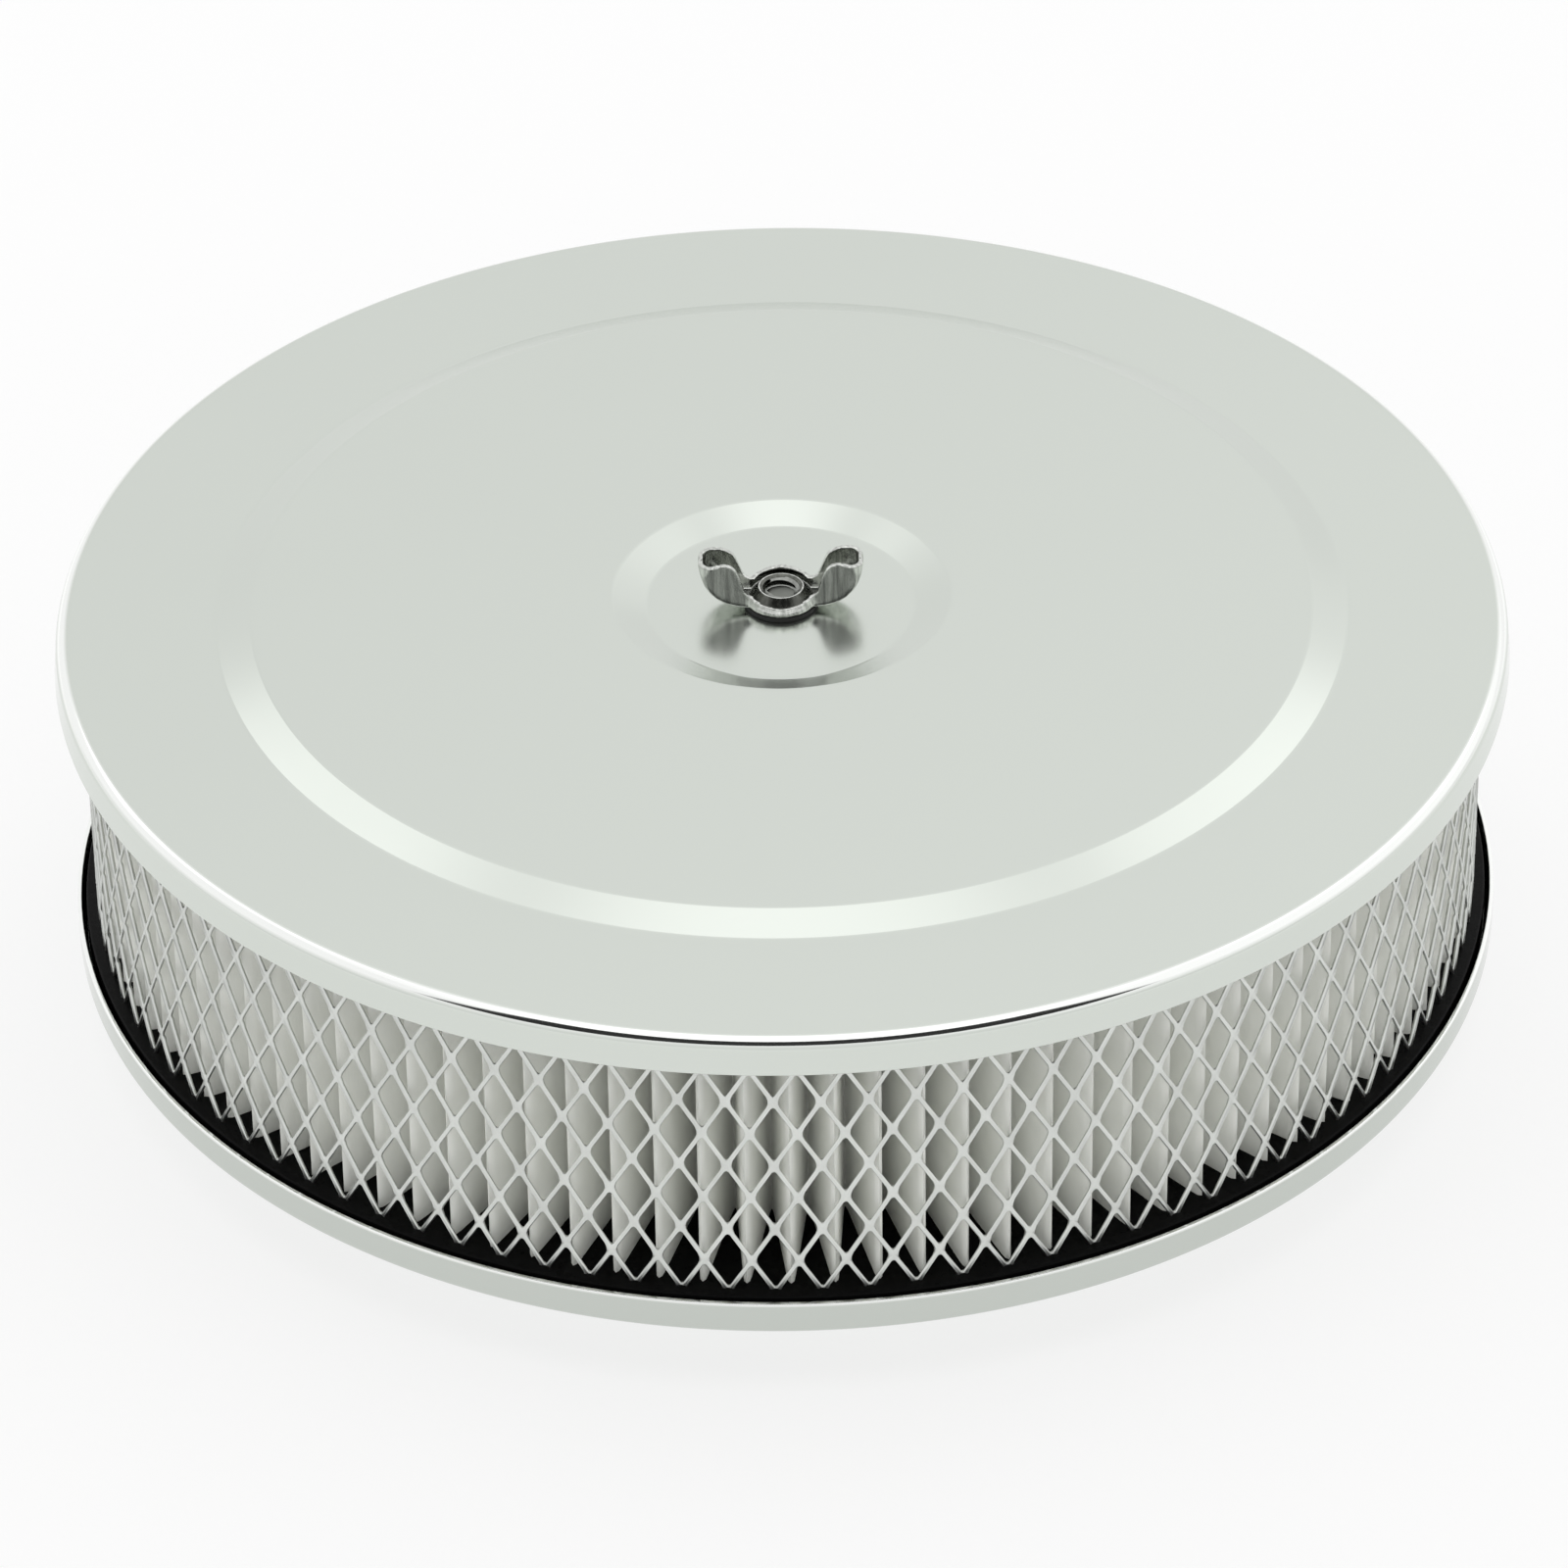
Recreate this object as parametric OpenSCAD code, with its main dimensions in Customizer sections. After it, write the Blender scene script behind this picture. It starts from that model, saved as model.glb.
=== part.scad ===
// Round carburettor air cleaner: chromed lid and pan, pleated paper ring, stud and wing nut.
// The rest plane, under the neck gasket, is Z = 0 and the stud is the Z axis.

/* [Sheet metal] */
// Thickness of the lid, pan and collar steel
sheet_t = 0.8; // [0.6:0.1:1]

/* [Lid] */
// Outside diameter of the lid at its top corner
lid_d = 254; // [252.6:0.1:258]
// Depth of the turned-down flange below the outer band
lid_flange_h = 6.6; // [4:0.1:8]
// How far the flange leans outwards at its lower edge
lid_flare = 0.4; // [0:0.1:1]
// Outside radius of the bend between band and flange
lid_corner_r = 1.8; // [1.2:0.1:3]
// Height of the pressed crown over the outer band
crown_h = 2.1; // [1.5:0.1:4]
// Diameter where the crown's slope leaves the outer band
crown_foot_d = 197.3; // [192:0.1:204]
// Diameter where the crown becomes flat
crown_top_d = 185.7; // [150:0.1:188]
// Diameter of the shoulder of the centre recess
recess_top_d = 59.2; // [54:0.1:90]
// Diameter of the flat floor of the centre recess
recess_floor_d = 47.4; // [40:0.1:50]
// Diameter of the hole for the stud
lid_hole_d = 7.2; // [7:0.1:8]

/* [Base pan] */
// Outside diameter of the pan's rim
pan_d = 253; // [252:0.1:256]
// Height of the upturned rim over the pan's lower face
rim_h = 6.55; // [4:0.05:7]
// Outside radius of the bend below the rim
rim_corner_r = 1.6; // [1.2:0.1:3]
// Height of the pressed step that locates the element
step_h = 3; // [2:0.1:5]
// Outer diameter of the step, at the pan's channel
step_foot_d = 186; // [180:1:187]
// Diameter where the raised centre becomes flat
step_top_d = 178; // [160:1:179]

/* [Neck] */
// Outside diameter of the carburettor's air horn
air_horn_d = 130.2; // [106:0.1:131]
// Radial gap between air horn and collar
neck_gap = 0.4; // [0.2:0.1:0.8]
// Height of the pan's lower face over the rest plane
neck_drop = 12; // [8:0.5:25]
// Width of the collar's weld flange and of its gasket lip
collar_lip_w = 6; // [4:0.5:8]
// Thickness of the neck gasket
gasket_t = 2.4; // [1.5:0.1:3]
// Radial gap between the collar's bore and the gasket's hole
gasket_gap = 1.2; // [0.8:0.1:2]

/* [Filter element] */
// Height of the element over both end caps
element_h = 60.1; // [45:0.1:80]
// Outside diameter of the outer wire screen
screen_d = 245.8; // [244:0.1:246]
// Sheet thickness of both screens
screen_t = 0.6; // [0.4:0.1:0.7]
// Outside diameter of the moulded end caps
cap_d = 249.8; // [248:0.1:250]
// Inside diameter of the moulded end caps
cap_hole_d = 189.2; // [188:0.1:190]
// Height of each end cap
cap_h = 7.3; // [5:0.1:9]
// Number of pleats
pleats = 103; // [60:1:120]
// Diameter over the outer folds
fold_d = 243; // [240:0.1:243.4]
// Diameter over the inner folds
root_d = 197; // [196.6:0.1:200]
// Thickness of the filter paper
paper_t = 0.6; // [0.3:0.1:0.7]

/* [Stud] */
// Outside diameter of the stud's thread
stud_d = 6.35; // [6:0.05:6.35]
// Diameter of the plain shank between the threads
shank_d = 5.5; // [5:0.1:5.9]
// Length of the lower thread, which screws into the carburettor
lower_thread = 12.7; // [8:0.1:16]
// Length of the upper thread, which takes the wing nut
upper_thread = 19; // [10:0.5:30]
// Height of the stud's lower end over the raised centre of the pan
stud_lift = 1.7; // [1:0.1:5]
// How far the stud stands out of the lid
stud_tip = 2; // [1.5:0.1:3.5]

/* [Wing nut] */
// Distance over the two wing tips
wing_span = 29; // [26:0.1:32]
// Height of the wings over the nut's lower face
wing_h = 9; // [8:0.1:11]
// Width of each folded wing
wing_w = 5; // [4:0.1:6]
// Thickness of the nut's sheet
nut_t = 0.9; // [0.7:0.1:1]
// Diameter of the round cup between the wings
cup_d = 12; // [11.4:0.1:13]
// Height of the cup's wall
cup_h = 1.8; // [1.5:0.1:2.4]
// Height of the drawn, threaded boss
boss_h = 3; // [2.5:0.1:4]
// Outside diameter of the boss
boss_d = 9.2; // [8.8:0.1:10]
// Radial clearance between thread and stud
thread_gap = 0.05; // [0.02:0.01:0.1]
// Thickness of the sealing washer
washer_t = 0.8; // [0.5:0.1:1.2]
// Outside diameter of the sealing washer
washer_d = 13; // [12.4:0.1:16]

/* [Hidden] */
$fn = 180;

eps = 0.01;
chrome = [0.82, 0.84, 0.84];
black = [0.05, 0.05, 0.05];

// Levels, from the rest plane upwards
pan_z = neck_drop;
centre_z = pan_z + step_h;
element_z = pan_z + sheet_t;
lid_under_z = element_z + element_h;
band_z = lid_under_z + sheet_t;
nut_z = band_z + washer_t;
stud_z = centre_z + sheet_t + stud_lift;
stud_top_z = band_z + stud_tip;

neck_r = air_horn_d / 2 + neck_gap;
collar_r = neck_r + sheet_t;
lip_r = neck_r + collar_lip_w;
gasket_r = neck_r + gasket_gap;
paper_h = element_h - 2 * cap_h;
paper_z = element_z + cap_h;
bend_steps = 6;

// Seam clip: a folded strip over the pleat at the back
clip_t = 0.4;
clip_gap = 3.2;
clip_depth = 6;
clip_root_r = root_d / 2 - 0.2;
inner_screen_r = clip_root_r - clip_t - 0.2;

// Points of an elliptical arc in the profile plane
function arc(x, z, rx, rz, from, to) =
    [for (i = [0 : bend_steps]) let (a = from + (to - from) * i / bend_steps)
        [x + rx * cos(a), z + rz * sin(a)]];

// Zigzag ring of the pleats: fold is the half-width of an outer fold, root of an inner one
function at_angle(r, a) = [r * cos(a), r * sin(a)];
function zigzag(fold_r, root_r, fold, root) =
    [for (i = [0 : pleats - 1])
        let (a = 360 * i / pleats, b = a + 180 / pleats)
        let (da = asin(fold / fold_r), db = asin(root / root_r))
        for (p = [[fold_r, a - da], [fold_r, a + da], [root_r, b - db], [root_r, b + db]])
            at_angle(p[0], p[1])];

module ring(inner_r, outer_r, height) {
    difference() {
        cylinder(r = outer_r, h = height);
        translate([0, 0, -eps])
            cylinder(r = inner_r, h = height + 2 * eps);
    }
}

// Half section of the lid's outside, from the flange's lower edge to the stud hole
module lid() {
    lid_r = lid_d / 2;
    edge_r = lid_r + lid_flare;
    bend = lid_corner_r;
    steps = [
        [crown_foot_d / 2, 0],
        [crown_top_d / 2, crown_h],
        [recess_top_d / 2, crown_h],
        [recess_floor_d / 2, 0],
        [lid_hole_d / 2, 0]];
    outside = concat(
        [[edge_r, -lid_flange_h]],
        arc(lid_r - bend, -bend, bend, bend, 0, 90),
        steps);
    inside = concat(
        [for (i = [len(steps) - 1 : -1 : 0]) steps[i] - [0, sheet_t]],
        arc(lid_r - bend, -bend, bend - sheet_t, bend - sheet_t, 90, 0),
        [[edge_r - sheet_t, -lid_flange_h]]);
    color(chrome)
        translate([0, 0, band_z])
            rotate_extrude()
                polygon(concat(outside, inside));
}

module base_pan() {
    pan_r = pan_d / 2;
    bend = rim_corner_r;
    steps = [
        [step_foot_d / 2, 0],
        [step_top_d / 2, step_h],
        [collar_r, step_h]];
    outside = concat(
        [[pan_r, rim_h]],
        arc(pan_r - bend, bend, bend, bend, 0, -90),
        steps);
    inside = concat(
        [for (i = [len(steps) - 1 : -1 : 0]) steps[i] + [0, sheet_t]],
        arc(pan_r - bend, bend, bend - sheet_t, bend - sheet_t, -90, 0),
        [[pan_r - sheet_t, rim_h]]);
    color(chrome)
        translate([0, 0, pan_z])
            rotate_extrude()
                polygon(concat(outside, inside));
}

// Drawn ring with a weld flange under the pan and a lip over the gasket
module neck_collar() {
    color(chrome) {
        translate([0, 0, gasket_t])
            ring(neck_r, collar_r, centre_z - gasket_t);
        translate([0, 0, gasket_t])
            ring(neck_r, lip_r, sheet_t);
        translate([0, 0, centre_z - sheet_t])
            ring(neck_r, lip_r, sheet_t);
    }
}

module neck_gasket() {
    color(black)
        ring(gasket_r, lip_r, gasket_t);
}

module end_cap(z) {
    color(black)
        translate([0, 0, z])
            ring(cap_hole_d / 2, cap_d / 2, cap_h);
}

module element_bottom_cap() {
    end_cap(element_z);
}

module element_top_cap() {
    end_cap(lid_under_z - cap_h);
}

// The two screens are plain sleeves here: their diamond openings are a few millimetres wide
module outer_screen() {
    color("silver")
        translate([0, 0, paper_z])
            ring(screen_d / 2 - screen_t, screen_d / 2, paper_h);
}

module inner_screen() {
    color("silver")
        translate([0, 0, paper_z])
            ring(inner_screen_r - screen_t, inner_screen_r, paper_h);
}

// Paper folded to and fro between the two screens
module pleat_pack() {
    outer_half = 0.6 + paper_t / 2;
    inner_half = outer_half - paper_t;
    fold_r = fold_d / 2;
    root_r = root_d / 2;
    color("ivory")
        translate([0, 0, paper_z])
            linear_extrude(height = paper_h)
                difference() {
                    polygon(zigzag(fold_r, root_r + paper_t, outer_half, inner_half));
                    polygon(zigzag(fold_r - paper_t, root_r, inner_half, outer_half));
                }
}

// Crimped strip that joins the two ends of the paper, over the inner fold nearest the back
module pleat_seam_clip() {
    seam_a = (floor(pleats / 4) + 0.5) * 360 / pleats;
    color("gray")
        rotate([0, 0, seam_a])
            translate([clip_root_r - clip_t, 0, paper_z])
                difference() {
                    translate([0, -clip_gap / 2 - clip_t, 0])
                        cube([clip_depth, clip_gap + 2 * clip_t, paper_h]);
                    translate([clip_t, -clip_gap / 2, -eps])
                        cube([clip_depth, clip_gap, paper_h + 2 * eps]);
                }
}

// Threads are plain cylinders at their full diameter
module stud() {
    thread_r = stud_d / 2;
    shank_r = shank_d / 2;
    lead = 0.6;
    length = stud_top_z - stud_z;
    color("silver")
        translate([0, 0, stud_z])
            rotate_extrude()
                polygon([
                    [0, 0],
                    [thread_r - lead, 0],
                    [thread_r, lead],
                    [thread_r, lower_thread],
                    [shank_r, lower_thread + thread_r - shank_r],
                    [shank_r, length - upper_thread - thread_r + shank_r],
                    [thread_r, length - upper_thread],
                    [thread_r, length - lead],
                    [thread_r - lead, length],
                    [0, length]]);
}

module seal_washer() {
    color(black)
        translate([0, 0, band_z])
            ring(lid_hole_d / 2, washer_d / 2, washer_t);
}

// Side view of one wing, from the nut's middle out to its tip
module wing_outline() {
    tip_x = wing_span / 2;
    under_x = 5.5;
    hook_z = wing_h * 0.62;
    hook_x = 6.1;
    crest_x = 10.5;
    polygon(concat(
        [[0, 0]],
        arc(under_x, wing_h - 0.3, tip_x - under_x, wing_h - 0.3, -90, 0),
        arc(tip_x - 1, wing_h - 0.7, 0.9, 0.7, 20, 90),
        arc(crest_x, hook_z, crest_x - hook_x, wing_h - hook_z, 90, 180),
        arc(2.3, hook_z, hook_x - 2.3, hook_z - cup_h, 0, -90),
        [[0, cup_h]]));
}

// The hollow of one wing: it is open upwards and follows the wing's underside
module wing_hollow() {
    tip_x = wing_span / 2 - nut_t;
    under_x = 5.3;
    polygon(concat(
        [[0, nut_t]],
        arc(under_x, wing_h - 0.3, tip_x - under_x, wing_h - 0.3 - nut_t, -90, 0),
        [[tip_x, wing_h + 1], [0, wing_h + 1]]));
}

module across(width) {
    rotate([90, 0, 0])
        translate([0, 0, -width / 2])
            linear_extrude(height = width)
                children();
}

// Folded from one sheet: two hollow wings, a round cup between them and a drawn, threaded boss
module wing_nut() {
    color(chrome)
        translate([0, 0, nut_z])
            difference() {
                union() {
                    difference() {
                        union() {
                            cylinder(d = cup_d, h = cup_h);
                            for (side = [0, 180])
                                rotate([0, 0, side])
                                    across(wing_w)
                                        wing_outline();
                        }
                        translate([0, 0, nut_t])
                            cylinder(d = cup_d - 2 * nut_t, h = wing_h);
                        for (side = [0, 180])
                            rotate([0, 0, side])
                                across(wing_w - 2 * nut_t)
                                    wing_hollow();
                    }
                    cylinder(d = boss_d, h = boss_h);
                }
                translate([0, 0, -eps])
                    cylinder(d = stud_d + 2 * thread_gap, h = boss_h + 2 * eps);
            }
}

lid();
wing_nut();
seal_washer();
stud();
base_pan();
neck_collar();
neck_gasket();
element_top_cap();
element_bottom_cap();
pleat_pack();
pleat_seam_clip();
outer_screen();
inner_screen();
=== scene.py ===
import math

import bmesh
import bpy
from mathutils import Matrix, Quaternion, Vector


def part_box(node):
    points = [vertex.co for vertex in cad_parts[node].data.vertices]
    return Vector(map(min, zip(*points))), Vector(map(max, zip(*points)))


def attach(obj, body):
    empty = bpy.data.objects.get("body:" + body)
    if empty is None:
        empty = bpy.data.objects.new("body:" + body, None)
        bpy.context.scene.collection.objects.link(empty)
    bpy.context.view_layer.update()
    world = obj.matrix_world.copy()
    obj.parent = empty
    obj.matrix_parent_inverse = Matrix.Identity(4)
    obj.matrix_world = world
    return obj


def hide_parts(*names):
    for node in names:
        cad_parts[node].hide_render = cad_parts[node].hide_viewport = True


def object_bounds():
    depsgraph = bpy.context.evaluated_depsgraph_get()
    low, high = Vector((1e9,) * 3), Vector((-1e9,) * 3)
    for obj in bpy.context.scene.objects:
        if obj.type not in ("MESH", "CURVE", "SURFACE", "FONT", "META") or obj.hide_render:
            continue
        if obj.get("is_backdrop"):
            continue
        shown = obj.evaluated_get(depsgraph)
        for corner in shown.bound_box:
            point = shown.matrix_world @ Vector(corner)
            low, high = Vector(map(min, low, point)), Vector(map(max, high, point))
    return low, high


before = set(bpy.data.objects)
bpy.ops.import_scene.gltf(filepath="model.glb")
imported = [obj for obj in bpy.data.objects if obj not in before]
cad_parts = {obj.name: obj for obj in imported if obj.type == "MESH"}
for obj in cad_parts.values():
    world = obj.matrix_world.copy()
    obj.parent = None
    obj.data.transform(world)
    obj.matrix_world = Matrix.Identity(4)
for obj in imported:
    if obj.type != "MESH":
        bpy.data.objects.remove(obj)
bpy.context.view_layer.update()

# ---------------------------------------------------------------------------------------------
# Base pan. A round steel pressing, drawn from 0.8 mm sheet and chrome plated. Its rim is turned
# up round the filter element, and the raised step inside the rim keeps the element in place.
# ---------------------------------------------------------------------------------------------
MM = 0.001
SHEET = 0.8 * MM
MERGE = 0.002 * MM
pan_low, pan_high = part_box("base_pan")


def deselect():
    """Leaves nothing selected, so that an operator acts on the new piece alone."""
    bpy.ops.object.select_all(action="DESELECT")


def section(name, corners, steps=8):
    """Draws a half section in the XZ plane. A corner is (radius, height), or has a bend as well."""
    deselect()
    first = Vector((corners[0][0], 0, corners[0][1]))
    bpy.ops.mesh.primitive_plane_add(size=MM, location=first)
    piece = bpy.context.object
    piece.name = name
    bpy.ops.object.transform_apply(location=True, rotation=False, scale=False)
    bpy.ops.object.mode_set(mode="EDIT")
    bpy.ops.mesh.select_mode(type="VERT")
    bpy.ops.mesh.select_all(action="SELECT")
    bpy.ops.mesh.merge(type="CENTER")
    for here, there in zip(corners, corners[1:]):
        step = (there[0] - here[0], 0, there[1] - here[1])
        bpy.ops.mesh.extrude_region_move(TRANSFORM_OT_translate={"value": step})
    for before, corner, after in zip(corners, corners[1:], corners[2:]):
        if len(corner) == 3:
            to_before = Vector(before[:2]) - Vector(corner[:2])
            to_after = Vector(after[:2]) - Vector(corner[:2])
            turn = math.pi - to_before.angle(to_after)
            round_corner(piece, corner, corner[2] * math.tan(turn / 2), steps)
    return piece


def round_corner(piece, corner, setback, steps):
    """Rounds one corner of a half section, starting setback away from it on both sides."""
    net = bmesh.from_edit_mesh(piece.data)
    bpy.ops.mesh.select_all(action="DESELECT")
    place = Vector((corner[0], 0, corner[1]))
    min(net.verts, key=lambda v: (v.co - place).length).select_set(True)
    bmesh.update_edit_mesh(piece.data)
    bpy.ops.mesh.bevel(offset=setback, segments=steps, profile=0.5, affect="VERTICES")


def spin_round(piece, steps=256):
    """Turns a half section about the stud's axis and closes the seam."""
    bpy.ops.mesh.select_all(action="SELECT")
    bpy.ops.mesh.spin(steps=steps, angle=math.tau, center=(0, 0, 0), axis=(0, 0, 1))
    bpy.ops.mesh.select_all(action="SELECT")
    bpy.ops.mesh.remove_doubles(threshold=MERGE)
    bpy.ops.mesh.normals_make_consistent(inside=False)
    bpy.ops.object.mode_set(mode="OBJECT")


def turn_over(piece):
    """Turns all faces of an open skin over."""
    bpy.ops.object.mode_set(mode="EDIT")
    bpy.ops.mesh.select_all(action="SELECT")
    bpy.ops.mesh.flip_normals()
    bpy.ops.object.mode_set(mode="OBJECT")


def face_up(piece, up):
    """Turns an open skin's faces over unless its widest ones look up, or down if up is False."""
    widest = max(piece.data.polygons, key=lambda f: f.area * abs(f.normal.z))
    if (widest.normal.z > 0) != up:
        turn_over(piece)


def modify(piece, kind, **settings):
    """Adds a modifier with these settings and applies it."""
    bpy.context.view_layer.objects.active = piece
    modifier = piece.modifiers.new(kind.lower(), kind)
    for key, value in settings.items():
        setattr(modifier, key, value)
    bpy.ops.object.modifier_apply(modifier=modifier.name)


def smooth(piece, degrees=35):
    """Shades a piece smoothly, except over edges sharper than this."""
    deselect()
    piece.select_set(True)
    bpy.context.view_layer.objects.active = piece
    bpy.ops.object.shade_smooth_by_angle(angle=math.radians(degrees))


def press(piece, thickness, edge):
    """Gives a skin its sheet thickness on the side behind its faces, and breaks its cut edges."""
    modify(piece, "SOLIDIFY", thickness=thickness, offset=-1, use_even_offset=True)
    angle = math.radians(50)
    modify(piece, "BEVEL", width=edge, segments=3, limit_method="ANGLE", angle_limit=angle)
    smooth(piece)
    modify(piece, "WEIGHTED_NORMAL", keep_sharp=True)


def new_material(name):
    """A material with its shader, and the piece's own coordinates for its patterns."""
    material = bpy.data.materials.new(name)
    material.use_nodes = True
    nodes = material.node_tree.nodes
    shader = nodes["Principled BSDF"]
    place = nodes.new("ShaderNodeTexCoord").outputs["Object"]
    return material, nodes, material.node_tree.links, shader, place


def grain(nodes, links, place, scale, detail, stretch=(1, 1, 1)):
    """A noise pattern of that many features a metre, squeezed along the axes by stretch."""
    mapping = nodes.new("ShaderNodeMapping")
    mapping.inputs["Scale"].default_value = stretch
    links.new(place, mapping.inputs["Vector"])
    noise = nodes.new("ShaderNodeTexNoise")
    noise.inputs["Scale"].default_value = scale
    noise.inputs["Detail"].default_value = detail
    links.new(mapping.outputs["Vector"], noise.inputs["Vector"])
    return noise.outputs["Fac"]


def remap(nodes, links, value, start, end, low=0.0, high=1.0):
    """Turns a value that goes from start to end into one that goes from low to high."""
    node = nodes.new("ShaderNodeMapRange")
    node.inputs["From Min"].default_value = start
    node.inputs["From Max"].default_value = end
    node.inputs["To Min"].default_value = low
    node.inputs["To Max"].default_value = high
    links.new(value, node.inputs["Value"])
    return node.outputs["Result"]


def spread(nodes, links, pattern, low, high):
    """Spreads a noise pattern, which seldom leaves 0.3 to 0.7, between two values."""
    return remap(nodes, links, pattern, 0.3, 0.7, low, high)


def blend(nodes, links, factor, first, second):
    """Goes from the first colour to the second as the factor rises from 0 to 1."""
    mix = nodes.new("ShaderNodeMix")
    mix.data_type = "RGBA"
    mix.inputs["A"].default_value = (*first, 1)
    mix.inputs["B"].default_value = (*second, 1)
    links.new(factor, mix.inputs["Factor"])
    return mix.outputs["Result"]


def darker(color, share):
    """The same colour at that share of its brightness."""
    return tuple(share * channel for channel in color)


def from_axis(nodes, links, place):
    """The distance from the stud's axis."""
    flat = nodes.new("ShaderNodeVectorMath")
    flat.operation = "MULTIPLY"
    flat.inputs[1].default_value = (1, 1, 0)
    links.new(place, flat.inputs[0])
    radius = nodes.new("ShaderNodeVectorMath")
    radius.operation = "LENGTH"
    links.new(flat.outputs["Vector"], radius.inputs[0])
    return radius.outputs["Value"]


def emboss(nodes, links, height, shader, distance):
    """Makes a pattern stand out of the surface by that distance."""
    bump = nodes.new("ShaderNodeBump")
    bump.inputs["Strength"].default_value = 1.0
    bump.inputs["Distance"].default_value = distance
    links.new(height, bump.inputs["Height"])
    links.new(bump.outputs["Normal"], shader.inputs["Normal"])


def chrome_plate(name, color, polish, haze, buffed_highlight_r, highlight_z):
    """Chrome over polished steel: a faint haze and soft ripple. The edge beyond the buffed radius
    is smoother, and above the given height its colour is painted near white, a painted highlight."""
    material, nodes, links, shader, place = new_material(name)
    shader.inputs["Metallic"].default_value = 1.0
    edge = remap(nodes, links, from_axis(nodes, links, place), buffed_highlight_r - 0.6 * MM, buffed_highlight_r)
    height = nodes.new("ShaderNodeSeparateXYZ")
    links.new(place, height.inputs["Vector"])
    blur = 0.3 * MM
    upper = remap(nodes, links, height.outputs["Z"], highlight_z - blur, highlight_z + blur)
    # Painted highlight: beyond the buffed radius and above the given height the base colour goes
    # near white.
    painted_highlight = nodes.new("ShaderNodeMath")
    painted_highlight.operation = "MULTIPLY"
    links.new(edge, painted_highlight.inputs[0])
    links.new(upper, painted_highlight.inputs[1])
    tint = blend(nodes, links, painted_highlight.outputs["Value"], color, (0.97, 0.985, 0.965))
    links.new(tint, shader.inputs["Base Color"])
    smoother = nodes.new("ShaderNodeMath")
    smoother.operation = "MULTIPLY_ADD"
    smoother.inputs[1].default_value = -0.6
    smoother.inputs[2].default_value = 1.0
    links.new(edge, smoother.inputs[0])
    hazy = grain(nodes, links, place, 25, 5)
    rough = nodes.new("ShaderNodeMath")
    rough.operation = "MULTIPLY"
    links.new(spread(nodes, links, hazy, polish, haze), rough.inputs[0])
    links.new(smoother.outputs["Value"], rough.inputs[1])
    links.new(rough.outputs["Value"], shader.inputs["Roughness"])
    ripple = grain(nodes, links, place, 60, 1)
    emboss(nodes, links, ripple, shader, 0.0015 * MM)
    return material


def dress(piece, material):
    """Gives a piece its only material."""
    piece.data.materials.clear()
    piece.data.materials.append(material)


pan_rim = pan_high.x
pan_under = pan_low.z
pan_centre = pan_under + 3 * MM
pan_hole = 66.3 * MM
step_r = 93 * MM
step_w = 4 * MM
pan = section("pan_shell", [
    (pan_hole, pan_centre),
    (step_r - step_w, pan_centre, 2.5 * MM),
    (step_r, pan_under, 2.5 * MM),
    (pan_rim, pan_under, 1.6 * MM),
    (pan_rim, pan_high.z)])
spin_round(pan)
face_up(pan, False)
press(pan, SHEET, 0.2 * MM)
# The pan's chrome is painted darker than the lid's, as painted shade for its darker reflections low
# by the floor; the top of its rim is painted near white, a painted highlight.
dress(pan, chrome_plate("pan_chrome", (0.58, 0.61, 0.572), 0.16, 0.2, pan_rim - 1 * MM,
                        pan_high.z - 0.4 * MM))
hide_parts("base_pan")
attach(pan, "base")

# ---------------------------------------------------------------------------------------------
# Neck collar. A drawn ring of zinc-plated steel, spot welded under the pan's centre hole. It
# slips over the carburettor's air horn, and its lower lip carries the gasket.
# ---------------------------------------------------------------------------------------------
collar_low, collar_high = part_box("neck_collar")
neck_r = 65.5 * MM


def plated_steel(name, color, polish, haze, stretch):
    """Zinc-plated or galvanised steel: satin, clouded, with the marks of drawing or rolling."""
    material, nodes, links, shader, place = new_material(name)
    shader.inputs["Metallic"].default_value = 1.0
    clouds = spread(nodes, links, grain(nodes, links, place, 160, 4), 0, 1)
    tone = blend(nodes, links, clouds, darker(color, 0.86), color)
    links.new(tone, shader.inputs["Base Color"])
    marks = grain(nodes, links, place, 900, 3, stretch)
    links.new(spread(nodes, links, marks, polish, haze), shader.inputs["Roughness"])
    emboss(nodes, links, marks, shader, 0.01 * MM)
    return material


def face_round(piece, outward):
    """Turns a sleeve's faces over unless its upright ones look outward, or inward."""
    upright = min(piece.data.polygons, key=lambda f: abs(f.normal.z))
    across = Vector((upright.center.x, upright.center.y, 0))
    if (upright.normal.dot(across) > 0) != outward:
        turn_over(piece)


collar = section("neck_ring", [
    (collar_high.y, collar_low.z),
    (neck_r, collar_low.z, 1.2 * MM),
    (neck_r, collar_high.z, 1.2 * MM),
    (collar_high.y, collar_high.z)])
spin_round(collar)
face_round(collar, False)
modify(collar, "SOLIDIFY", thickness=SHEET, offset=-1, use_even_offset=True)
modify(collar, "BEVEL", width=0.15 * MM, segments=2, limit_method="ANGLE",
       angle_limit=math.radians(50))
smooth(collar)
dress(collar, plated_steel("zinc_plate", (0.66, 0.665, 0.65), 0.22, 0.34, (1, 1, 0.06)))
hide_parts("neck_collar")
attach(collar, "base")

# ---------------------------------------------------------------------------------------------
# Neck gasket. A moulded rubber ring, glued under the collar's lip, which seals on the ledge
# round the carburettor's air horn. The housing rests on it.
# ---------------------------------------------------------------------------------------------
gasket_low, gasket_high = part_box("neck_gasket")
gasket_gap = 1.2 * MM


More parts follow.
